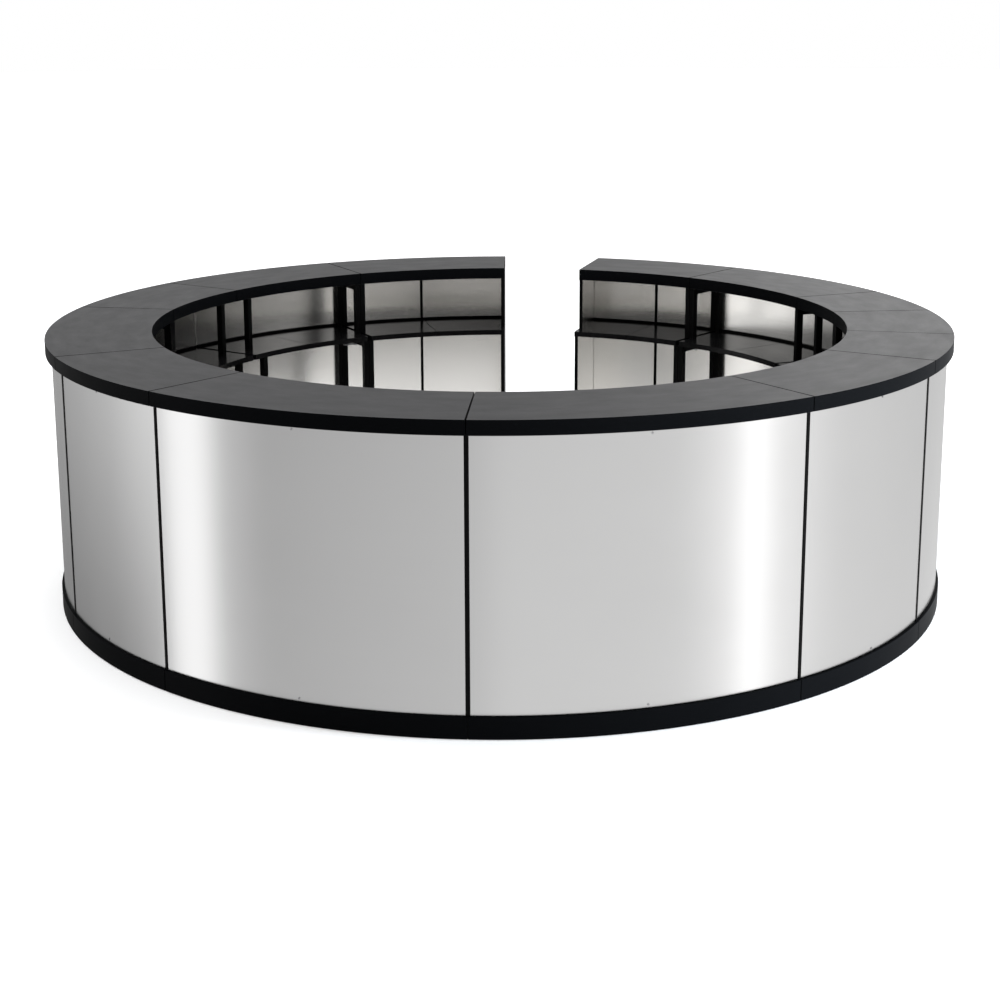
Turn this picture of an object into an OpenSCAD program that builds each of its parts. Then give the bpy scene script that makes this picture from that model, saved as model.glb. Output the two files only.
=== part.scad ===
// Ring-shaped bar counter in curved units, with mirror front panels, an open staff side and one entrance.
// The ring stands on the floor, centred on the Z axis. The customers' front faces -Y and the entrance is near +Y.
// Angles are counted from -Y towards +X. A unit's radial lines pass through the Z axis.

/* [Ring] */
// Outer diameter of the ring of counter tops
ring_d = 4000; // [3600:10:4800]
// Height of the counter from the floor
bar_h = 1187; // [1100:1:1300]
// Angle of the first unit's free end, at the entrance
first_angle = -181; // [-186:0.5:-176]
// Angle that each unit takes up, from the entrance round the front and back to it
unit_angles = [29.2, 29.5, 22.3, 35.5, 24, 37.1, 38.3, 25.6, 35.1, 15.9, 29, 23.5];
// Gap between neighbouring units
unit_gap = 3; // [2:0.5:5]

/* [Counter top] */
// Depth of the counter top from its outer to its inner edge
top_depth = 454; // [420:1:520]
// Thickness of the counter top
top_t = 57; // [40:1:80]
// Size of the small chamfer along the counter top's upper edges
top_chamfer = 2; // [1:0.5:4]

/* [Customers' side] */
// How far the front panels stand back from the counter top's edge
panel_setback = 26; // [22:1:60]
// Thickness of the mirror front panels
panel_t = 8; // [5:1:12]
// Width of the dark joint between two front panels
panel_joint = 14; // [8:1:20]
// Height of the plinth
plinth_h = 88; // [84:1:140]
// Thickness of the front plinth board
front_plinth_t = 20; // [16:1:22]
// Thickness of the inner plinth board
inner_plinth_t = 18; // [12:1:25]
// How far the inner plinth stands back under the shelf's edge
inner_plinth_setback = 20; // [10:1:60]
// Clear height between the floor and the plinth boards
plinth_lift = 3; // [2:0.5:5]

/* [Staff side] */
// How far the worktop's surface lies below the counter top's
worktop_drop = 319; // [280:1:360]
// Thickness of the worktop
worktop_t = 26; // [18:1:30]
// How far the worktop reaches in past the counter top's inner edge
worktop_reach = 102; // [60:1:140]
// Width of the dark joint between the worktops of two units
worktop_joint = 20; // [12:1:24]
// Width of the fine joint between the two boards of a unit
fine_joint = 1; // [1:0.5:2]
// How far the lining stands back from the counter top's outer edge
lining_setback = 170; // [150:1:190]
// Thickness of the mirror lining
lining_t = 9; // [6:1:12]
// Thickness of the base shelf
shelf_t = 18; // [15:1:22]
// Height of the trim at the foot of the upper lining
trim_h = 11; // [8:1:16]
// Depth of the trim at the foot of the upper lining
trim_d = 8; // [5:1:12]
// Width of the divider strips on the lining
strip_w = 14; // [8:1:20]
// Thickness of the divider strips on the lining
strip_t = 3; // [2:0.5:4]
// Thickness of the end panels at the entrance
end_panel_t = 18; // [15:1:25]

/* [Carcass] */
// Width of the carcass posts and rails along the ring
post_w = 25; // [20:1:32]
// Depth of the carcass posts and curved rails across the ring
post_d = 32; // [25:1:40]
// Height of the carcass rails
rail_h = 32; // [25:1:40]
// Width of the base cross rails, which carry the shelves' ends
base_rail_w = 45; // [35:1:60]
// How far the lower inner posts stand back from the worktop's front edge
lower_post_setback = 10; // [5:1:30]
// How far the upper inner posts stand back from the counter top's inner edge
upper_post_setback = 8; // [4:1:30]
// Angle by which the inner posts stand off at the seams that have them spread apart
spread_angle = 3.2; // [2.5:0.1:5]

/* [Fittings] */
// Diameter of the glide feet
glide_d = 30; // [20:1:40]
// Diameter of the glide feet under the end panels
end_glide_d = 16; // [10:1:18]
// Height of the glide feet
glide_h = 6; // [5:0.5:12]
// How far the glide feet stand in from the ends of their rail
glide_inset = 50; // [30:1:120]
// Height of the pads between two units
pad_h = 60; // [30:1:120]
// Distance of the hooks from the worktop's front edge
hook_setback = 156; // [130:1:220]
// Diameter of the hook's pin and stud
hook_pin_d = 8; // [6:0.5:10]
// Diameter of the heads of the hook's pin and stud
hook_head_d = 14; // [12:0.5:18]
// Thickness of the heads, hooks and fitting plates
hook_t = 4; // [3:0.5:6]
// Width of the hook's bar
hook_w = 22; // [20:1:28]
// Length of the hook's grip beyond the stud
hook_grip = 58; // [40:1:80]
// Angle of the hook's slot about its pin
hook_slot_angle = 60; // [50:1:75]
// Diameter of the heads of the top screws
top_screw_head_d = 12; // [9:0.5:16]
// Diameter of the shanks of the top screws
top_screw_d = 5; // [4:0.5:6]
// Depth of the top screws in the counter top
top_screw_depth = 25; // [15:1:30]
// Diameter of the heads of the panel screws
panel_screw_head_d = 8; // [6:0.5:12]
// Diameter of the shanks of the panel screws
panel_screw_d = 3; // [2.5:0.5:4]
// Thickness of the screw heads
screw_head_t = 2; // [1.5:0.5:3]
// Distance of the panel screws from the panel's upper and lower edge
panel_screw_inset = 14; // [8:1:20]

/* [Hidden] */
// Clearance between pieces that seat on each other
seat = 0.3;
// Running clearance round the hook's pin and its stud
running = 0.05;
slot_clearance = 0.5;
// Overrun of cuts past the faces they open
overrun = 1;
// Facets of the ring's curves and of small round pieces in a preview
ring_fn = 360;
small_fn = 32;

units = len(unit_angles);
// Angle of each seam; the first and the last are the free ends at the entrance
seams = [for (i = 0, a = first_angle; i <= units; a = a + (i < units ? unit_angles[i] : 0), i = i + 1) a];
inner_seams = [1 : units - 1];
// Shares of the spread angle by which the inner posts before and after each seam between two units stand off
spread_before_shares = [0, 1, 0, 0, 0, 0, 0, 0, 0, 1.94, 0];
spread_after_shares = [0, 1, 0, 0, 0, 0, 0, 0, 0, 0, 0];
// Share of the fine joint's width that each unit's counter top has in its middle
top_split_shares = [0, 0, 0, 0, 0, 0, 0, 0, 1, 0, 0, 0];
// Units whose lining has a divider strip
strip_units = [0, units - 1];

// The angle by which the inner post at one side of a seam stands off, with side -1 before the seam and 1 after it
function spread_at(i, side) =
    spread_angle * (side < 0 ? spread_before_shares[i - 1] : spread_after_shares[i - 1]);
// The seams next to the entrance have their lining posts before the lining
function proud_at(i) = i == 1 || i == units - 1;
function pad_number(n) = n < 10 ? str("0", n) : str(n);

// Radii, from the outside in
ring_r = ring_d / 2;
top_in_r = ring_r - top_depth;
panel_r = ring_r - panel_setback;
panel_in_r = panel_r - panel_t;
carcass_r = panel_in_r - seat;
front_post_in_r = carcass_r - post_d;
lining_r = ring_r - lining_setback;
lining_out_r = lining_r + lining_t;
hidden_post_r = lining_out_r + seat;
proud_post_r = lining_r - seat - post_d;
upper_post_r = top_in_r + upper_post_setback;
worktop_in_r = top_in_r - worktop_reach;
lower_post_r = worktop_in_r + lower_post_setback;
inner_plinth_r = lower_post_r + inner_plinth_setback;
hook_r = worktop_in_r + hook_setback;

// Heights, from the floor up
shelf_z = plinth_h - shelf_t;
base_rail_h = shelf_z - glide_h;
worktop_h = bar_h - worktop_drop;
worktop_z = worktop_h - worktop_t;
worktop_rail_z = worktop_z - rail_h;
worktop_seat_z = worktop_z - seat;
top_z = bar_h - top_t;
top_rail_z = top_z - rail_h;
top_seat_z = top_z - seat;

// Distances along the ring, from a seam
half_gap = unit_gap / 2;
post_far = half_gap + post_w;
post_mid = half_gap + post_w / 2;
base_rail_far = half_gap + base_rail_w;
end_far = end_panel_t + seat;
hook_reach = 2 * post_mid;

// Places

// At a seam: X points outwards, Y along the ring towards the next unit
module at_seam(i) rotate([0, 0, seams[i] - 90]) children();

// At the middle of a unit
module at_middle(i) rotate([0, 0, (seams[i] + seams[i + 1]) / 2 - 90]) children();

// Once for each unit side at each seam between two units
module each_side() {
    for (i = inner_seams)
        for (side = [-1, 1])
            at_seam(i)
                mirror([0, side < 0 ? 1 : 0, 0])
                    children();
}

// Angle at which a distance along the ring is reached, at a radius
function angle_of(distance, r) = asin(distance / r);

// Where a straight piece's flat end lies so that its far corner just reaches a radius
function flat_end(r, far) = sqrt(r * r - far * far);

// Ring piece between two angles
module ring_piece(r0, r1, z0, z1, a0, a1) {
    rotate([0, 0, a0 - 90])
        rotate_extrude(angle = a1 - a0, $fn = ring_fn)
            translate([r0, z0])
                square([r1 - r0, z1 - z0]);
}

// Ring piece of one unit, which stops a distance short of its seams and of the ring's free ends
module unit_piece(i, r0, r1, z0, z1, at_seams = half_gap, at_ends = 0) {
    ring_piece(r0, r1, z0, z1,
        seams[i] + angle_of(i == 0 ? at_ends : at_seams, r0),
        seams[i + 1] - angle_of(i == units - 1 ? at_ends : at_seams, r0));
}

// Straight timber beside a seam
module timber(r0, r1, z0, z1, w = post_w) {
    translate([r0, half_gap, z0])
        cube([r1 - r0, w, z1 - z0]);
}

// Counter tops

module top_screw_places() {
    for (r = [upper_post_r + 4 * post_d, (hidden_post_r + post_d + front_post_in_r) / 2])
        translate([r, post_mid, top_z])
            children();
}

module unit_ends(i) {
    if (i > 0)
        at_seam(i) children();
    if (i < units - 1)
        at_seam(i + 1) mirror([0, 1, 0]) children();
}

module top_board(a0, a1) {
    rotate([0, 0, a0 - 90])
        rotate_extrude(angle = a1 - a0, $fn = ring_fn)
            polygon([
                [top_in_r, top_z],
                [ring_r, top_z],
                [ring_r, bar_h - top_chamfer],
                [ring_r - top_chamfer, bar_h],
                [top_in_r + top_chamfer, bar_h],
                [top_in_r, bar_h - top_chamfer]
            ]);
}

module top(i) {
    a0 = seams[i] + (i == 0 ? 0 : angle_of(half_gap, top_in_r));
    a1 = seams[i + 1] - (i == units - 1 ? 0 : angle_of(half_gap, top_in_r));
    middle = (seams[i] + seams[i + 1]) / 2;
    split = angle_of(top_split_shares[i] * fine_joint / 2, top_in_r);
    color("#2b2c2e")
        difference() {
            if (split > 0) {
                top_board(a0, middle - split);
                top_board(middle + split, a1);
            } else
                top_board(a0, a1);
            unit_ends(i)
                top_screw_places()
                    translate([0, 0, -overrun])
                        cylinder(d = top_screw_d + 2 * seat, h = top_screw_depth + seat + overrun, $fn = small_fn);
        }
}

module top_screws() {
    color("#8c8f94")
        for (i = [0 : units - 1])
            unit_ends(i)
                top_screw_places() {
                    cylinder(d = top_screw_d, h = top_screw_depth, $fn = small_fn);
                    translate([0, 0, -rail_h])
                        cylinder(d = top_screw_d, h = rail_h, $fn = small_fn);
                    translate([0, 0, -rail_h - screw_head_t])
                        cylinder(d = top_screw_head_d, h = screw_head_t, $fn = small_fn);
                }
}

// Front panels and plinths

module panel_screw_places(i) {
    for (z = [plinth_h + panel_screw_inset, top_z - panel_screw_inset])
        at_middle(i)
            translate([panel_r, 0, z])
                rotate([0, 90, 0])
                    children();
}

module front_panel(i) {
    color("#c9ccd1")
        difference() {
            unit_piece(i, panel_in_r, panel_r, plinth_h, top_z, panel_joint / 2);
            panel_screw_places(i)
                translate([0, 0, -panel_t - overrun])
                    cylinder(d = panel_screw_d + 2 * seat, h = panel_t + 2 * overrun, $fn = small_fn);
        }
}

module panel_screws() {
    color("#8c8f94")
        for (i = [0 : units - 1])
            panel_screw_places(i) {
                translate([0, 0, -panel_t - post_d / 2])
                    cylinder(d = panel_screw_d, h = panel_t + post_d / 2, $fn = small_fn);
                cylinder(d = panel_screw_head_d, h = screw_head_t, $fn = small_fn);
            }
}

module front_plinths() {
    color("#141517")
        for (i = [0 : units - 1])
            unit_piece(i, panel_in_r, panel_in_r + front_plinth_t, plinth_lift, plinth_h);
}

module inner_plinths() {
    color("#141517")
        for (i = [0 : units - 1])
            unit_piece(i, inner_plinth_r, inner_plinth_r + inner_plinth_t, plinth_lift, shelf_z - seat,
                base_rail_far + seat, end_far);
}

// Carcass

module front_posts() {
    color("#1b1b1d")
        each_side()
            timber(front_post_in_r, flat_end(carcass_r, post_far), shelf_z, top_rail_z);
}

// A lining post in two lengths, under and over the worktop
module lining_post(r, lower_z0, lower_z1, upper_z0) {
    timber(r, r + post_d, lower_z0, lower_z1);
    timber(r, r + post_d, upper_z0, top_rail_z);
}

module lining_posts() {
    color("#1b1b1d")
        for (i = inner_seams)
            for (side = [0, 1])
                at_seam(i)
                    mirror([0, side, 0])
                        if (proud_at(i))
                            lining_post(proud_post_r, plinth_h, worktop_rail_z, worktop_h);
                        else
                            lining_post(hidden_post_r, shelf_z, worktop_rail_z, worktop_z);
}

// An inner post at each side of each seam; where it is spread apart it passes the rail and meets the board above
module inner_posts(r, z0, z1, spread_z1) {
    color("#1b1b1d")
        for (i = inner_seams)
            for (side = [-1, 1])
                rotate([0, 0, side * spread_at(i, side)])
                    at_seam(i)
                        mirror([0, side < 0 ? 1 : 0, 0])
                            timber(r, r + post_d, z0, spread_at(i, side) > 0 ? spread_z1 : z1);
}

module lower_inner_posts() inner_posts(lower_post_r, plinth_h, worktop_rail_z, worktop_seat_z);

module upper_inner_posts() inner_posts(upper_post_r, worktop_h, top_rail_z, top_seat_z);

module base_cross_rails() {
    color("#1b1b1d")
        each_side()
            timber(lower_post_r, flat_end(carcass_r, base_rail_far), glide_h, shelf_z, base_rail_w);
}

// A cross rail at each side of each seam; it starts farther out where the inner post stands off
module cross_rails(r0, r1, z0, z1) {
    for (i = inner_seams)
        for (side = [-1, 1])
            at_seam(i)
                mirror([0, side < 0 ? 1 : 0, 0])
                    timber(r0 + (spread_at(i, side) > 0 ? 3 * post_d : 0), r1, z0, z1);
}

module worktop_cross_rails() {
    color("#1b1b1d")
        cross_rails(lower_post_r, front_post_in_r - seat, worktop_rail_z, worktop_seat_z);
}

module top_cross_rails() {
    color("#1b1b1d")
        difference() {
            cross_rails(upper_post_r, flat_end(carcass_r, post_far), top_rail_z, top_seat_z);
            each_side()
                top_screw_places()
                    translate([0, 0, -rail_h - overrun])
                        cylinder(d = top_screw_d + 2 * seat, h = rail_h + 2 * overrun, $fn = small_fn);
        }
}

module front_rails() {
    color("#1b1b1d")
        difference() {
            for (i = [0 : units - 1])
                for (z = [[shelf_z, shelf_z + rail_h], [top_rail_z, top_seat_z]])
                    unit_piece(i, front_post_in_r, carcass_r, z[0], z[1], post_far + seat, end_far);
            for (i = [0 : units - 1])
                panel_screw_places(i)
                    translate([0, 0, -panel_t - post_d / 2 - seat])
                        cylinder(d = panel_screw_d + 2 * seat, h = post_d / 2 + overrun, $fn = small_fn);
        }
}

module lining_rails() {
    color("#1b1b1d")
        for (i = [0 : units - 1])
            for (z = [[worktop_rail_z, worktop_seat_z], [top_rail_z, top_seat_z]])
                unit_piece(i, lining_out_r - post_d, lining_out_r, z[0], z[1], post_far + seat, end_far);
}

// An end panel in the radial plane, with a slot that takes the worktop's end
module end_panel() {
    outer_r = flat_end(carcass_r, end_panel_t);
    color("#141517")
        rotate([90, 0, 0])
            linear_extrude(end_panel_t)
                difference() {
                    polygon([
                        [lower_post_r, glide_h],
                        [outer_r, glide_h],
                        [outer_r, top_seat_z],
                        [upper_post_r, top_seat_z],
                        [upper_post_r, worktop_z],
                        [lower_post_r, worktop_z]
                    ]);
                    translate([lower_post_r - overrun, worktop_z - seat])
                        square([lining_out_r + seat - lower_post_r + overrun, worktop_t + 2 * seat]);
                }
}

module end_panel_left() at_seam(0) translate([0, end_panel_t, 0]) end_panel();

module end_panel_right() at_seam(units) end_panel();

// Staff side

module worktop_half(i, a0, a1) {
    ring_piece(worktop_in_r, lining_out_r, worktop_z, worktop_h, a0, a1);
}

module worktops() {
    color("#1e1f22")
        for (i = [0 : units - 1]) {
            middle = (seams[i] + seams[i + 1]) / 2;
            split = angle_of(fine_joint / 2, worktop_in_r);
            joint = angle_of(worktop_joint / 2, worktop_in_r);
            worktop_half(i, seams[i] + (i == 0 ? 0 : joint), middle - split);
            worktop_half(i, middle + split, seams[i + 1] - (i == units - 1 ? 0 : joint));
        }
}

module upper_linings() {
    color("#b9b6ae")
        for (i = [0 : units - 1])
            unit_piece(i, lining_r, lining_out_r, worktop_h, top_rail_z, half_gap, end_far);
}

module lower_linings() {
    color("#c2c0bb")
        for (i = [0 : units - 1])
            unit_piece(i, lining_r, lining_out_r, plinth_h, worktop_rail_z, half_gap, end_far);
}

module base_shelves() {
    color("#1e1f22")
        for (i = [0 : units - 1])
            unit_piece(i, lower_post_r, lining_out_r, shelf_z, plinth_h, half_gap, end_far);
}

// The trim stops at lining posts that stand before the lining
module lining_trims() {
    color("#0e0f10")
        for (i = [0 : units - 1])
            ring_piece(lining_r - seat - trim_d, lining_r - seat, worktop_h, worktop_h + trim_h,
                seams[i] + angle_of(trim_start(i), proud_post_r),
                seams[i + 1] - angle_of(trim_start(i + 1), proud_post_r));
}

function trim_start(i) =
    i == 0 || i == units ? end_far : proud_at(i) ? post_far + seat : worktop_joint / 2;

module lining_strips() {
    color("#0e0f10")
        for (i = strip_units)
            for (z = [[plinth_h, worktop_rail_z], [worktop_h + trim_h + seat, top_rail_z]])
                at_middle(i)
                    translate([lining_r - seat - strip_t, -strip_w / 2, z[0]])
                        cube([strip_t, strip_w, z[1] - z[0]]);
}

// Fittings

module glide_pair(y, d) {
    for (r = [lower_post_r + glide_inset, carcass_r - glide_inset])
        translate([r, y, 0])
            cylinder(d = d, h = glide_h, $fn = small_fn);
}

module glide_feet() {
    color("#26272a") {
        each_side()
            glide_pair(half_gap + base_rail_w / 2, glide_d);
        at_seam(0) glide_pair(end_panel_t / 2, end_glide_d);
        at_seam(units) glide_pair(-end_panel_t / 2, end_glide_d);
    }
}

module seam_pads() {
    color("#0c0c0d")
        for (i = inner_seams)
            at_seam(i)
                for (z = [plinth_h + rail_h, top_rail_z - rail_h - pad_h])
                    translate([front_post_in_r, -half_gap, z])
                        cube([post_d, unit_gap, pad_h]);
}

// A fitting plate under a worktop cross rail, with a headed pin that points down
module pin_plate() {
    pin_h = hook_t + 2 * seat;
    translate([-post_w, -post_w / 2, -hook_t])
        cube([2 * post_w, post_w, hook_t]);
    translate([0, 0, -hook_t - pin_h])
        cylinder(d = hook_pin_d, h = pin_h, $fn = small_fn);
    translate([0, 0, -hook_t - pin_h - hook_t])
        cylinder(d = hook_head_d, h = hook_t, $fn = small_fn);
}

module at_hook(i, y) at_seam(i) translate([hook_r, y, worktop_rail_z]) children();

module hook_pivots() {
    color("#9a9da2")
        for (i = inner_seams)
            at_hook(i, -post_mid) pin_plate();
}

module hook_studs() {
    color("#9a9da2")
        for (i = inner_seams)
            at_hook(i, post_mid) pin_plate();
}

// A flat hook that turns on its pin; the slot for the stud is an arc about the pin, open towards the front panel
module seam_hook(i) {
    slot_w = hook_pin_d + 2 * slot_clearance;
    color("#7f8389")
        at_hook(i, -post_mid)
            translate([0, 0, -2 * hook_t - seat])
                difference() {
                    union() {
                        cylinder(d = hook_w, h = hook_t, $fn = small_fn);
                        translate([-hook_w / 2, 0, 0])
                            cube([hook_w, hook_reach + hook_grip, hook_t]);
                        translate([0, hook_reach + hook_grip, 0])
                            cylinder(d = hook_w, h = hook_t, $fn = small_fn);
                    }
                    translate([0, 0, -overrun])
                        cylinder(d = hook_pin_d + 2 * running, h = hook_t + 2 * overrun, $fn = small_fn);
                    translate([0, hook_reach, -overrun])
                        cylinder(d = slot_w, h = hook_t + 2 * overrun, $fn = small_fn);
                    rotate([0, 0, 90 - hook_slot_angle])
                        rotate_extrude(angle = hook_slot_angle, $fn = ring_fn)
                            translate([hook_reach - slot_w / 2, -overrun])
                                square([slot_w, hook_t + 2 * overrun]);
                }
}

for (i = [1 : units])
    top(i - 1);
for (i = [1 : units])
    front_panel(i - 1);
for (i = inner_seams)
    seam_hook(i);
front_posts();
lining_posts();
lower_inner_posts();
upper_inner_posts();
base_cross_rails();
worktop_cross_rails();
top_cross_rails();
front_rails();
lining_rails();
worktops();
upper_linings();
lower_linings();
base_shelves();
front_plinths();
inner_plinths();
end_panel_left();
end_panel_right();
lining_trims();
lining_strips();
glide_feet();
seam_pads();
hook_pivots();
hook_studs();
top_screws();
panel_screws();
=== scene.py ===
import math

import bmesh
import bpy
from mathutils import Matrix, Vector


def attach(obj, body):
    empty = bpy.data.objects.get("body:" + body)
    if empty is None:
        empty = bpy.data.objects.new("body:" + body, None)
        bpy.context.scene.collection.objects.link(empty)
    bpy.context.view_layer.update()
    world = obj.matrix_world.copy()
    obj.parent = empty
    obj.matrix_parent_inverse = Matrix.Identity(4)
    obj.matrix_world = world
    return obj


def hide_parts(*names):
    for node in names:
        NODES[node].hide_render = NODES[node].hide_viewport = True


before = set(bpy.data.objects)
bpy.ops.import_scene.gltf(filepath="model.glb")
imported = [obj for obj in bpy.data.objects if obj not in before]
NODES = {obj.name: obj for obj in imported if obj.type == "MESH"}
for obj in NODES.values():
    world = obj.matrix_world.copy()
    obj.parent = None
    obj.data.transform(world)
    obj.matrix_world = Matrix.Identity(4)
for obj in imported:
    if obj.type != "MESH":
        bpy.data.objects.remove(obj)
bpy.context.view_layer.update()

# Sizes of the bar, in metres. Angles are in degrees, from -Y towards +X.
FIRST_SEAM = -181.0
UNIT_ANGLES = (29.2, 29.5, 22.3, 35.5, 24, 37.1, 38.3, 25.6, 35.1, 15.9, 29, 23.5)
SEAMS = [FIRST_SEAM + sum(UNIT_ANGLES[:i]) for i in range(len(UNIT_ANGLES) + 1)]
UNITS = len(UNIT_ANGLES)
GAP = 0.003
RING_R, TOP_IN_R = 2.0, 1.546
TOP_Z, BAR_H = 1.130, 1.187
PANEL_R, PANEL_IN_R = 1.974, 1.966
PLINTH_R, PLINTH_LIFT, PLINTH_H = 1.986, 0.003, 0.088
LINING_R, LINING_OUT_R = 1.830, 1.839
WORKTOP_IN_R, WORKTOP_Z, WORKTOP_H = 1.444, 0.842, 0.868
LOWER_POST_R, UPPER_POST_R = 1.454, 1.554
WORKTOP_RAIL_Z, TOP_RAIL_Z = 0.810, 1.098
GLIDE_H = 0.006
PANEL_JOINT, WORKTOP_JOINT, FINE_JOINT = 0.014, 0.020, 0.001
SPLIT_TOP = 8
END_T, SEAT = 0.018, 0.0003
CARCASS_R = PANEL_IN_R - SEAT
BANDING_T = 0.002
STRIP_R, PLINTH_STRIP_R = 1.9765, 1.983
# Angles in degrees: between two rings of a sweep, and those from which an edge is rounded or drawn sharp
ARC_STEP, BEVEL_ANGLE, SHARP_ANGLE = 0.6, 40, 35
# Widths of the rounded edges
TOP_EDGE, WORKTOP_EDGE, PANEL_EDGE = 0.001, 0.001, 0.003
PLINTH_EDGE, LINING_EDGE, FINE_EDGE = 0.0014, 0.0012, 0.0008


def direction(angle):
    a = math.radians(angle)
    return Vector((math.sin(a), -math.cos(a), 0))


def along(angle):
    a = math.radians(angle)
    return Vector((math.cos(a), math.sin(a), 0))


def turn(distance, r):
    """Angle in degrees that a distance along the ring takes up at a radius."""
    return math.degrees(math.asin(distance / r))


# Meshes

def finish_mesh(name, bm, materials, replaces=None):
    """Makes a piece that rides on the bar, and may stand for a CAD node."""
    bmesh.ops.recalc_face_normals(bm, faces=bm.faces)
    mesh = bpy.data.meshes.new(name)
    bm.to_mesh(mesh)
    bm.free()
    for m in materials:
        mesh.materials.append(m)
    mesh.shade_smooth()
    mesh.set_sharp_from_angle(angle=math.radians(SHARP_ANGLE))
    obj = bpy.data.objects.new(name, mesh)
    bpy.context.scene.collection.objects.link(obj)
    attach(obj, "bar")
    if replaces:
        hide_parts(replaces)
    return obj


def add_sweep(bm, outline, a0, a1, banding=0.0, band_sides=False):
    """Sweeps a closed outline of (radius, height) points round the ring.

    U runs up the outline and V along the ring. With banding given, that much of each end takes the second
    material, and with band_sides the upright sides take it too.
    """
    uv = bm.loops.layers.uv.verify()
    lip = turn(banding, RING_R)
    count = max(2, math.ceil((a1 - a0) / ARC_STEP))
    angles = [a0 + lip + (a1 - a0 - 2 * lip) * i / count for i in range(count + 1)]
    if banding:
        angles = [a0, *angles, a1]
        count += 2
    n = len(outline)
    run = [0.0]
    for i in range(n):
        p, q = outline[i], outline[(i + 1) % n]
        run.append(run[-1] + math.hypot(q[0] - p[0], q[1] - p[1]))
    rings = [[bm.verts.new(direction(a) * r + Vector((0, 0, z))) for r, z in outline] for a in angles]
    for k in range(count):
        for i in range(n):
            j = (i + 1) % n
            f = bm.faces.new((rings[k][i], rings[k][j], rings[k + 1][j], rings[k + 1][i]))
            at_end = banding and k in (0, count - 1)
            upright = outline[i][1] != outline[j][1]
            f.material_index = 1 if at_end or (band_sides and upright) else 0
            v0, v1 = math.radians(angles[k]) * RING_R, math.radians(angles[k + 1]) * RING_R
            for loop, co in zip(f.loops, ((run[i], v0), (run[i + 1], v0), (run[i + 1], v1), (run[i], v1))):
                loop[uv].uv = co
    for ring in (rings[0], rings[-1]):
        f = bm.faces.new(ring)
        f.material_index = 1 if banding else 0
        for loop in f.loops:
            loop[uv].uv = (loop.vert.co.z, loop.vert.co.xy.length)


def block_outline(r0, r1, z0, z1):
    return [(r0, z0), (r1, z0), (r1, z1), (r0, z1)]


def add_bevel(obj, width, segments=3):
    bevel = obj.modifiers.new("edges", "BEVEL")
    bevel.width = width
    bevel.segments = segments
    bevel.limit_method = "ANGLE"
    bevel.angle_limit = math.radians(BEVEL_ANGLE)
    bevel.harden_normals = True


def unit_range(i, r, at_seams=GAP / 2, at_ends=0.0):
    start = SEAMS[i] + turn(at_ends if i == 0 else at_seams, r)
    stop = SEAMS[i + 1] - turn(at_ends if i == UNITS - 1 else at_seams, r)
    return start, stop


def boards(start, stop, r, split):
    """The angles of one board, or of two with a fine joint between them."""
    if not split:
        return [(start, stop)]
    middle, half = (start + stop) / 2, turn(FINE_JOINT / 2, r)
    return [(start, middle - half), (middle + half, stop)]


# Materials

class Nodes:
    """Short calls that make and join the nodes of one tree.

    Inputs are given by their name or, where a node has several of one name, by their number.
    """

    def __init__(self, tree):
        self.tree = tree

    def put(self, node, inputs):
        for key, value in inputs.items():
            socket = node.inputs[key]
            if isinstance(value, bpy.types.NodeSocket):
                self.tree.links.new(value, socket)
            else:
                socket.default_value = value

    def node(self, kind, inputs=None, **settings):
        made = self.tree.nodes.new("ShaderNode" + kind)
        for key, value in settings.items():
            setattr(made, key, value)
        self.put(made, inputs or {})
        return made

    def math(self, operation, a, b=0.0):
        return self.node("Math", {0: a, 1: b}, operation=operation).outputs[0]

    def axes(self, place):
        return self.node("SeparateXYZ", {"Vector": place}).outputs

    def azimuth(self, x, y):
        """The angle of (x, y) in radians, from -Y towards +X."""
        return self.math("ARCTAN2", x, self.math("MULTIPLY", y, -1.0))

    def span(self, value, low, high, of=(0.25, 0.75)):
        """Spreads a value over low to high; a noise stays mostly between 0.25 and 0.75."""
        return self.node("MapRange", {"Value": value, "From Min": of[0], "From Max": of[1],
                                      "To Min": low, "To Max": high}).outputs["Result"]

    def blend(self, factor, a, b):
        a, b = ((*color, 1) if isinstance(color, tuple) else color for color in (a, b))
        return self.node("Mix", {0: factor, 6: a, 7: b}, data_type="RGBA").outputs[2]

    def mix_shaders(self, factor, a, b):
        return self.node("MixShader", {0: factor, 1: a, 2: b}).outputs[0]

    def ray(self, kind):
        """1 for rays of one kind, such as Is Camera Ray, and 0 for the rest."""
        return self.node("LightPath").outputs[kind]


class Paint(Nodes):
    """A new material and its nodes."""

    def __init__(self, name):
        self.material = bpy.data.materials.new(name)
        self.material.use_nodes = True
        super().__init__(self.material.node_tree)
        self.shader = self.tree.nodes["Principled BSDF"]

    def set(self, **inputs):
        self.put(self.shader, {key.replace("_", " "): value for key, value in inputs.items()})

    def place(self):
        return self.node("TexCoord").outputs["Object"]

    def ring_place(self):
        """A point's length along the ring, its radius and its height, so that grain follows the ring."""
        x, y, z = self.axes(self.place())
        radius = self.math("SQRT", self.math("ADD", self.math("MULTIPLY", x, x), self.math("MULTIPLY", y, y)))
        length = self.math("MULTIPLY", self.azimuth(x, y), RING_R)
        return self.node("CombineXYZ", {"X": length, "Y": radius, "Z": z}).outputs[0]

    def noise(self, place, stretch, scale=1.0, detail=3.0, roughness=0.55):
        spread = self.node("Mapping", {"Vector": place, "Scale": stretch}).outputs[0]
        return self.node("TexNoise", {"Vector": spread, "Scale": scale, "Detail": detail,
                                      "Roughness": roughness}).outputs["Fac"]

    def bump(self, height, strength, distance):
        return self.node("Bump", {"Height": height, "Strength": strength, "Distance": distance}).outputs[0]


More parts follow.
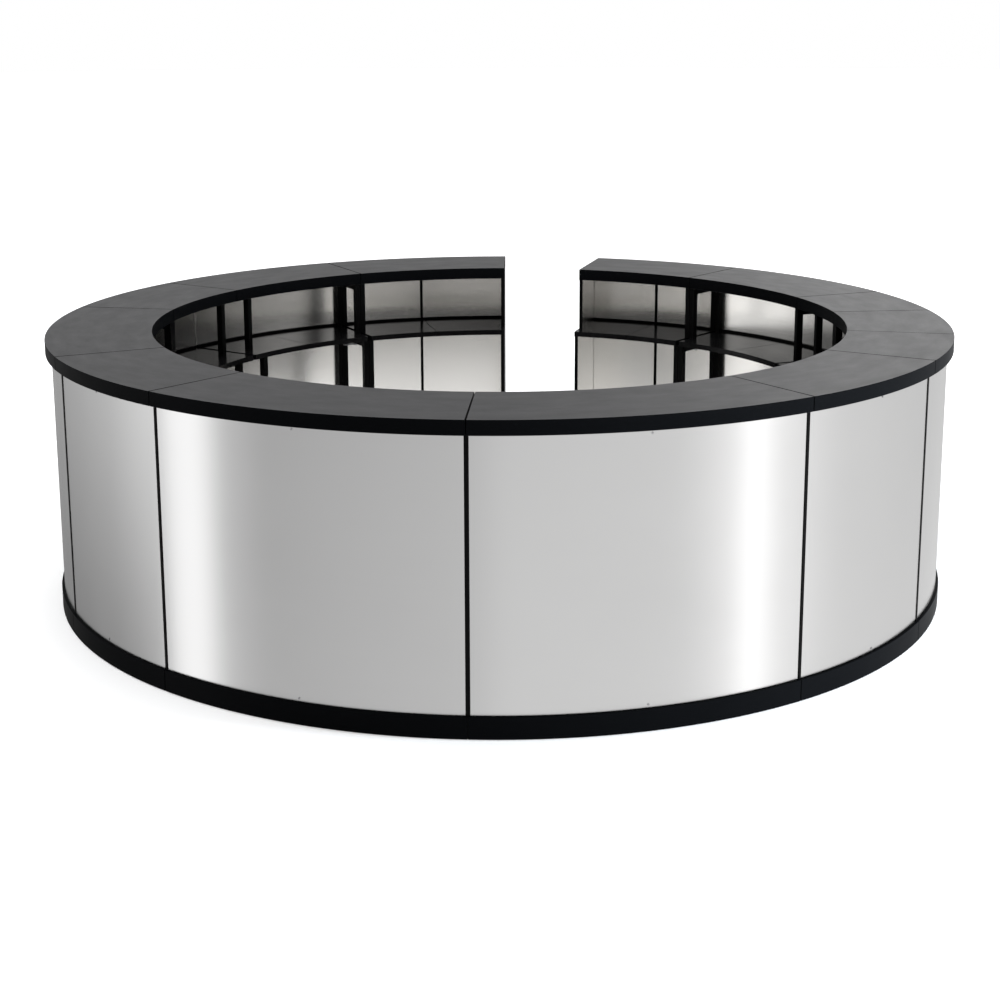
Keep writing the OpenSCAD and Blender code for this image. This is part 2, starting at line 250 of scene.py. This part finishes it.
def laminate(name, dark, light, rough_low, rough_high, specular):
    """Laminated board: a faint cloudy tone, a fine pebble in the surface and wiped patches in the gloss."""
    p = Paint(name)
    ring = p.ring_place()
    cloud = p.noise(ring, (1.0, 1.6, 1.6), 2.2, 4.0)
    wiped = p.noise(ring, (2.0, 5.0, 5.0), 3.0, 5.0, 0.65)
    pebble = p.noise(ring, (1.0, 1.0, 1.0), 900.0, 2.0)
    p.set(Base_Color=p.blend(cloud, dark, light), Roughness=p.span(wiped, rough_low, rough_high),
          Specular_IOR_Level=specular, Normal=p.bump(pebble, 0.35, 0.00006))
    return p.material


def polished_steel(name, dark, light, rough_low, rough_high, anisotropy, wave):
    """Polished sheet steel: the polish runs along the ring and spreads reflections upright.

    The sheet waves a little, by the height given.
    """
    p = Paint(name)
    ring = p.ring_place()
    streaks = p.noise(ring, (0.8, 1.0, 260.0), 1.0, 3.0, 0.6)
    hazy = p.noise(ring, (1.2, 1.0, 1.6), 1.6, 4.0, 0.6)
    waves = p.noise(ring, (1.4, 1.0, 1.1), 1.5, 1.0)
    rough = p.math("ADD", p.span(hazy, rough_low, rough_high), p.span(streaks, -0.012, 0.012))
    p.set(Base_Color=p.blend(hazy, dark, light), Metallic=1.0, Roughness=rough, Anisotropic=anisotropy,
          Normal=p.bump(waves, 1.0, wave),
          Tangent=p.node("Tangent", direction_type="UV_MAP").outputs[0])
    return p.material


def painted_timber(name, dark, light, rough_low, rough_high, specular):
    """Black painted timber: long grain under the paint, brush marks and worn, shinier patches."""
    p = Paint(name)
    grain = p.noise(p.place(), (60.0, 60.0, 5.0), 1.0, 5.0, 0.6)
    worn = p.noise(p.place(), (9.0, 9.0, 3.0), 1.0, 4.0)
    p.set(Base_Color=p.blend(worn, dark, light), Roughness=p.span(grain, rough_low, rough_high),
          Specular_IOR_Level=specular, Normal=p.bump(grain, 0.3, 0.0002))
    return p.material


def plated_steel(name, dark, light, rough_low, rough_high):
    """Zinc-plated fittings: cloudy plating and fine scratches."""
    p = Paint(name)
    plating = p.noise(p.place(), (45.0, 45.0, 45.0), 1.0, 4.0)
    scratch = p.noise(p.place(), (40.0, 900.0, 300.0), 1.0, 2.0, 0.7)
    p.set(Base_Color=p.blend(plating, dark, light), Metallic=1.0,
          Roughness=p.span(scratch, rough_low, rough_high), Normal=p.bump(scratch, 0.25, 0.00003))
    return p.material


def moulded(name, dark, light, rough_low, rough_high, specular, grain_scale, grain):
    """Moulded plastic or rubber: a fine spark-eroded grain and a little dust in the tone."""
    p = Paint(name)
    dust = p.noise(p.place(), (30.0, 30.0, 30.0), 1.0, 4.0)
    pebble = p.noise(p.place(), (1.0, 1.0, 1.0), grain_scale, 2.0)
    p.set(Base_Color=p.blend(dust, dark, light), Roughness=p.span(dust, rough_low, rough_high),
          Specular_IOR_Level=specular, Normal=p.bump(pebble, 0.4, grain))
    return p.material


# Each material's name, its darker and lighter tone, the span of its roughness, and what its function adds
TOP_LAMINATE = laminate(
    "counter_laminate", (0.022, 0.022, 0.023), (0.030, 0.030, 0.032), 0.30, 0.38, specular=0.45)
EDGE_BAND = laminate(
    "edge_band", (0.0024, 0.0026, 0.0030), (0.0032, 0.0035, 0.0040), 0.34, 0.42, specular=0.012)
WORKTOP_LAMINATE = laminate(
    "worktop_laminate", (0.003, 0.003, 0.0032), (0.006, 0.006, 0.0063), 0.12, 0.20, specular=0.05)
PLINTH_LAMINATE = laminate(
    "plinth_laminate", (0.0020, 0.0022, 0.0026), (0.0030, 0.0033, 0.0038), 0.32, 0.40, specular=0.012)
FRONT_STEEL = polished_steel(
    "front_steel", (0.602, 0.60, 0.599), (0.662, 0.66, 0.659), 0.22, 0.25, anisotropy=0.85, wave=0.0003)
LINING_STEEL = polished_steel(
    "lining_steel", (0.89, 0.875, 0.845), (0.94, 0.925, 0.895), 0.22, 0.27, anisotropy=0.2, wave=0.00025)
CARCASS_PAINT = painted_timber(
    "carcass_paint", (0.0018, 0.0018, 0.0019), (0.004, 0.004, 0.0042), 0.34, 0.5, specular=0.03)
FITTING_STEEL = plated_steel("fitting_steel", (0.42, 0.42, 0.43), (0.60, 0.60, 0.61), 0.28, 0.42)
SCREW_STEEL = plated_steel("screw_steel", (0.30, 0.30, 0.31), (0.50, 0.50, 0.51), 0.22, 0.36)
TRIM_PLASTIC = moulded(
    "trim_plastic", (0.0015, 0.0015, 0.0015), (0.003, 0.003, 0.003), 0.40, 0.55, specular=0.05,
    grain_scale=1400.0, grain=0.00004)
GLIDE_PLASTIC = moulded(
    "glide_plastic", (0.020, 0.020, 0.021), (0.040, 0.040, 0.042), 0.45, 0.6, specular=0.4,
    grain_scale=900.0, grain=0.00006)
PAD_RUBBER = moulded(
    "pad_rubber", (0.008, 0.008, 0.008), (0.018, 0.018, 0.018), 0.7, 0.85, specular=0.3,
    grain_scale=500.0, grain=0.0001)

# The hooks aren't listed: they are of fitting steel, as any node that is left out here
CAD_MATERIALS = {
    "front_posts": CARCASS_PAINT, "lining_posts": CARCASS_PAINT, "lower_inner_posts": CARCASS_PAINT,
    "upper_inner_posts": CARCASS_PAINT, "base_cross_rails": CARCASS_PAINT,
    "worktop_cross_rails": CARCASS_PAINT, "top_cross_rails": CARCASS_PAINT,
    "front_rails": CARCASS_PAINT, "lining_rails": CARCASS_PAINT,
    "base_shelves": WORKTOP_LAMINATE, "inner_plinths": PLINTH_LAMINATE,
    "lining_trims": TRIM_PLASTIC, "lining_strips": TRIM_PLASTIC, "glide_feet": GLIDE_PLASTIC,
    "seam_pads": PAD_RUBBER, "hook_pivots": FITTING_STEEL, "hook_studs": FITTING_STEEL,
    "top_screws": SCREW_STEEL, "panel_screws": SCREW_STEEL,
}


def dress_cad_nodes():
    for name, node in NODES.items():
        material = CAD_MATERIALS.get(name, FITTING_STEEL)
        node.data.materials.clear()
        node.data.materials.append(material)


# Pieces that stand for CAD nodes

def make_counter_tops():
    """Tops in dark laminate with black edge banding, which shows as a fine line at the boards' ends."""
    for i in range(UNITS):
        bm = bmesh.new()
        for a0, a1 in boards(*unit_range(i, TOP_IN_R), TOP_IN_R, i == SPLIT_TOP):
            add_sweep(bm, block_outline(TOP_IN_R, RING_R, TOP_Z, BAR_H), a0, a1, BANDING_T, band_sides=True)
        obj = finish_mesh("counter_top_%02d" % (i + 1), bm, (TOP_LAMINATE, EDGE_BAND),
                          replaces="top_%02d" % (i + 1))
        add_bevel(obj, TOP_EDGE)


def make_front_panels():
    for i in range(UNITS):
        bm = bmesh.new()
        add_sweep(bm, block_outline(PANEL_IN_R, PANEL_R, PLINTH_H, TOP_Z),
                  *unit_range(i, PANEL_IN_R, PANEL_JOINT / 2))
        obj = finish_mesh("steel_front_%02d" % (i + 1), bm, (FRONT_STEEL,),
                          replaces="front_panel_%02d" % (i + 1))
        add_bevel(obj, PANEL_EDGE, 4)


def make_plinths():
    bm = bmesh.new()
    for i in range(UNITS):
        add_sweep(bm, block_outline(PANEL_IN_R, PLINTH_R, PLINTH_LIFT, PLINTH_H), *unit_range(i, PANEL_IN_R))
    obj = finish_mesh("plinth_boards", bm, (PLINTH_LAMINATE,), replaces="front_plinths")
    add_bevel(obj, PLINTH_EDGE)


def make_linings():
    for name, node, z0, z1 in (("upper_lining_sheets", "upper_linings", WORKTOP_H, TOP_RAIL_Z),
                               ("lower_lining_sheets", "lower_linings", PLINTH_H, WORKTOP_RAIL_Z)):
        bm = bmesh.new()
        for i in range(UNITS):
            add_sweep(bm, block_outline(LINING_R, LINING_OUT_R, z0, z1),
                      *unit_range(i, LINING_R, at_ends=END_T + SEAT))
        obj = finish_mesh(name, bm, (LINING_STEEL,), replaces=node)
        add_bevel(obj, LINING_EDGE)


def add_board(bm, outline, seam, t0, t1, facing=None):
    """A radial board from t0 to t1 beside a seam, with the given (radius, height) outline.

    Its face at t = facing takes the second material.
    """
    uv = bm.loops.layers.uv.verify()
    sides = {}
    for t in (t0, t1):
        sides[t] = [bm.verts.new(direction(seam) * r + along(seam) * t + Vector((0, 0, z)))
                    for r, z in outline]
        face = bm.faces.new(sides[t])
        face.material_index = 1 if t == facing else 0
        for loop, (r, z) in zip(face.loops, outline):
            loop[uv].uv = (z, r)
    for i in range(len(outline)):
        j = (i + 1) % len(outline)
        face = bm.faces.new((sides[t0][i], sides[t0][j], sides[t1][j], sides[t1][i]))
        for loop in face.loops:
            loop[uv].uv = (loop.vert.co.z, loop.vert.co.xy.length)


def make_end_boards():
    """The boards at the entrance: black outside, faced with the lining's sheet inside."""
    outer_r = math.sqrt(CARCASS_R ** 2 - END_T ** 2)
    outline = [(LOWER_POST_R, GLIDE_H), (outer_r, GLIDE_H), (outer_r, TOP_Z - SEAT),
               (UPPER_POST_R, TOP_Z - SEAT), (UPPER_POST_R, WORKTOP_H + SEAT),
               (LINING_OUT_R + SEAT, WORKTOP_H + SEAT), (LINING_OUT_R + SEAT, WORKTOP_Z - SEAT),
               (LOWER_POST_R, WORKTOP_Z - SEAT)]
    for name, seam, t0, t1, facing in (("left", SEAMS[0], 0.0, END_T, END_T),
                                       ("right", SEAMS[-1], -END_T, 0.0, -END_T)):
        bm = bmesh.new()
        add_board(bm, outline, seam, t0, t1, facing)
        obj = finish_mesh("end_board_" + name, bm, (CARCASS_PAINT, LINING_STEEL),
                          replaces="end_panel_" + name)
        add_bevel(obj, FINE_EDGE, 2)


def make_joint_strips():
    """The black strips between the front panels, a little proud of them, and between the plinth boards."""
    bm = bmesh.new()
    half, foot_half = PANEL_JOINT / 2 - SEAT, GAP / 2 - SEAT / 2
    strip = block_outline(PANEL_IN_R, STRIP_R, PLINTH_H + SEAT, TOP_Z - SEAT)
    foot = block_outline(PANEL_IN_R, PLINTH_STRIP_R, PLINTH_LIFT, PLINTH_H - SEAT)
    for seam in SEAMS[1:-1]:
        add_board(bm, strip, seam, -half, half)
        add_board(bm, foot, seam, -foot_half, foot_half)
    add_bevel(finish_mesh("joint_strips", bm, (TRIM_PLASTIC,)), FINE_EDGE, 2)


def make_worktops():
    """Two boards in each unit, in gloss laminate with black banding at their ends."""
    bm = bmesh.new()
    for i in range(UNITS):
        for a0, a1 in boards(*unit_range(i, WORKTOP_IN_R, WORKTOP_JOINT / 2), WORKTOP_IN_R, True):
            add_sweep(bm, block_outline(WORKTOP_IN_R, LINING_OUT_R, WORKTOP_Z, WORKTOP_H), a0, a1, BANDING_T)
    obj = finish_mesh("worktop_boards", bm, (WORKTOP_LAMINATE, EDGE_BAND),
                      replaces="worktops")
    add_bevel(obj, WORKTOP_EDGE)


# Stage, lights and camera

FLOOR_RADIUS = 60.0
# How much the floor is lifted towards white where the camera sees it: beside the bar, and far away
FLOOR_LIFT, FAR_LIFT = 0.36, 1.0
# The studio's highest level, and what is left of a level up in the sky
BRIGHTEST, SKY_FADE = 4.0, 0.25
# The studio as metal and gloss show it, in pairs of direction in degrees and level: near the floor, at eye
# height and above
STUDIO_LOW = (
    (-180, 0.22), (-142, 0.18), (-116, 0.185), (-104, 0.20), (-92, 0.42), (-88, 1.60), (-78, 1.60),
    (-72, 0.78), (-60, 0.66), (-40, 0.74), (-8, 0.84), (2, 0.98), (45, 1.00), (58, 1.20), (64, 1.95),
    (72, 1.30), (90, 1.04), (130, 0.92), (180, 0.85))
STUDIO_MIDDLE = (
    (-180, 0.38), (-148, 0.41), (-128, 0.64), (-111, 0.92), (-98, 1.35), (-90, 1.40), (-88, 1.75),
    (-78, 1.75), (-70, 0.85), (-58, 0.60), (-30, 0.70), (-8, 0.78), (0, 0.96), (45, 1.00), (58, 1.25),
    (64, 2.00), (72, 1.32), (92, 1.05), (130, 0.80), (180, 0.60))
STUDIO_HIGH = (
    (-180, 0.72), (-168, 0.75), (-150, 0.65), (-100, 0.55), (-84, 0.65), (-70, 0.45), (0, 0.40),
    (40, 0.80), (56, 2.0), (74, 2.0), (90, 0.60), (130, 0.60), (150, 1.20), (168, 1.75), (174, 1.05),
    (180, 0.72))
# Where each higher ring of levels takes over from the one below it, and where the sky fades, as upward parts
# of a direction
MIDDLE_ENDS, HIGH_ENDS, FADE_ENDS = (-0.36, -0.20), (-0.08, 0.06), (0.10, 0.30)
# The world's level for surfaces without gloss
PLAIN_COLOR, PLAIN_LEVEL = (0.97, 0.98, 1.0, 1), 0.55


def make_floor():
    """A plain pale floor, which metal and gloss look through to the studio."""
    bm = bmesh.new()
    bmesh.ops.create_circle(bm, cap_ends=True, radius=FLOOR_RADIUS, segments=96)
    mesh = bpy.data.meshes.new("floor")
    bm.to_mesh(mesh)
    bm.free()
    floor = bpy.data.objects.new("floor", mesh)
    bpy.context.scene.collection.objects.link(floor)
    p = Paint("floor_paint")
    patch = p.noise(p.place(), (0.6, 0.6, 0.6), 1.0, 3.0)
    p.set(Base_Color=p.blend(patch, (0.76, 0.76, 0.76), (0.80, 0.80, 0.80)), Roughness=0.7,
          Specular_IOR_Level=0.2)
    distance = p.node("VectorMath", {0: p.place()}, operation="LENGTH").outputs["Value"]
    away = p.span(distance, FLOOR_LIFT, FAR_LIFT, of=(RING_R, 3 * RING_R))
    lift = p.math("MULTIPLY", p.ray("Is Camera Ray"), away)
    glow = p.node("Emission", {"Color": (1, 1, 1, 1), "Strength": lift}).outputs[0]
    lit = p.node("AddShader", {0: p.shader.outputs[0], 1: glow}).outputs[0]
    clear = p.node("BsdfTransparent").outputs[0]
    surface = p.mix_shaders(p.ray("Is Glossy Ray"), lit, clear)
    p.put(p.tree.nodes["Material Output"], {"Surface": surface})
    mesh.materials.append(p.material)


def make_world():
    """White for the camera, a plain level for light, and the studio's rings of levels for reflections."""
    world = bpy.data.worlds.new("studio")
    bpy.context.scene.world = world
    world.use_nodes = True
    world.node_tree.nodes.clear()
    w = Nodes(world.node_tree)

    def ring_of_light(share, levels):
        ramp = w.node("ValToRGB", {"Fac": share})
        stops = ramp.color_ramp.elements
        while len(stops) < len(levels):
            stops.new(0.5)
        for stop, (degrees, level) in zip(stops, levels):
            stop.position = (degrees + 180) / 360
            stop.color = (level / BRIGHTEST,) * 3 + (1,)
        return ramp.outputs[0]

    def background(color, strength):
        return w.node("Background", {"Color": color, "Strength": strength}).outputs[0]

    x, y, z = w.axes(w.node("TexCoord").outputs["Generated"])
    share = w.span(w.azimuth(x, y), 0.0, 1.0, of=(-math.pi, math.pi))
    levels = ring_of_light(share, STUDIO_LOW)
    for above, ends in ((STUDIO_MIDDLE, MIDDLE_ENDS), (STUDIO_HIGH, HIGH_ENDS)):
        levels = w.blend(w.span(z, 0.0, 1.0, of=ends), levels, ring_of_light(share, above))
    strength = w.math("MULTIPLY", w.span(z, 1.0, SKY_FADE, of=FADE_ENDS), BRIGHTEST)
    lit = w.mix_shaders(w.ray("Is Glossy Ray"), background(PLAIN_COLOR, PLAIN_LEVEL),
                        background(levels, strength))
    seen = w.mix_shaders(w.ray("Is Camera Ray"), lit, background((1, 1, 1, 1), 1.0))
    w.node("OutputWorld", {"Surface": seen})


def make_softbox(name, place, target, size, power, tint=(1, 1, 1)):
    """A rectangular area light at a place, aimed at a target and never seen by the camera."""
    light = bpy.data.lights.new(name, "AREA")
    light.shape = "RECTANGLE"
    light.size, light.size_y = size
    light.energy, light.color = power, tint
    obj = bpy.data.objects.new(name, light)
    bpy.context.scene.collection.objects.link(obj)
    obj.location = place
    obj.rotation_euler = (Vector(target) - Vector(place)).to_track_quat("-Z", "Y").to_euler()
    obj.visible_camera = False
    return obj


# Small cards inside the ring, which the linings mirror: (place, facing along X, size, power)
CARDS = (((-0.50, 1.20, 0.40), 1, (0.52, 0.44), 0.8),
         ((1.09, 1.215, 0.97), 1, (0.25, 0.20), 0.11),
         ((1.00, 0.70, 0.60), -1, (0.90, 0.30), 0.110))

# Soft lights, which no reflection shows: (name, place, target, size, power, tint)
SOFTBOXES = (
    ("overhead_softbox", Vector((0, -0.5, 6.0)), (0, 0, 0), (7.0, 7.0), 260, (1, 1, 1)),
    ("left_softbox", direction(-94) * 5 + Vector((0, 0, 6.0)), (0, 0, 0.6), (1.6, 3.4), 160, (1, 1, 1)),
    ("right_softbox", direction(66) * 7 + Vector((0, 0, 0.9)), (0, 0, 0.7), (1.6, 1.6), 1200,
     (0.84, 0.92, 1.0)))


def make_lights():
    for softbox in SOFTBOXES:
        make_softbox(*softbox).visible_glossy = False
    for i, (place, facing, size, power) in enumerate(CARDS):
        make_softbox("card_%d" % (i + 1), place, Vector(place) + Vector((facing, 0, 0)), size, power)


# The camera: its place, how far it looks down and leans in radians, its lens and sensor in mm, and its shift
CAMERA_PLACE, PITCH, ROLL = (0, -8.0, 2.605), 0.2209, 0.0028
LENS, SENSOR, SHIFT, CLIP_END = 64.55, 36.0, (0.00035, -0.1), 200.0


def make_camera():
    data = bpy.data.cameras.new("camera")
    data.sensor_width, data.lens = SENSOR, LENS
    data.shift_x, data.shift_y = SHIFT
    data.clip_end = CLIP_END
    camera = bpy.data.objects.new("camera", data)
    bpy.context.scene.collection.objects.link(camera)
    camera.matrix_world = (Matrix.Translation(CAMERA_PLACE) @ Matrix.Rotation(math.pi / 2 - PITCH, 4, "X")
                           @ Matrix.Rotation(-ROLL, 4, "Z"))
    bpy.context.scene.camera = camera


bpy.context.scene.view_settings.view_transform = "Standard"
make_camera()
dress_cad_nodes()
make_counter_tops()
make_front_panels()
make_plinths()
make_linings()
make_worktops()
make_end_boards()
make_joint_strips()
make_floor()
make_world()
make_lights()
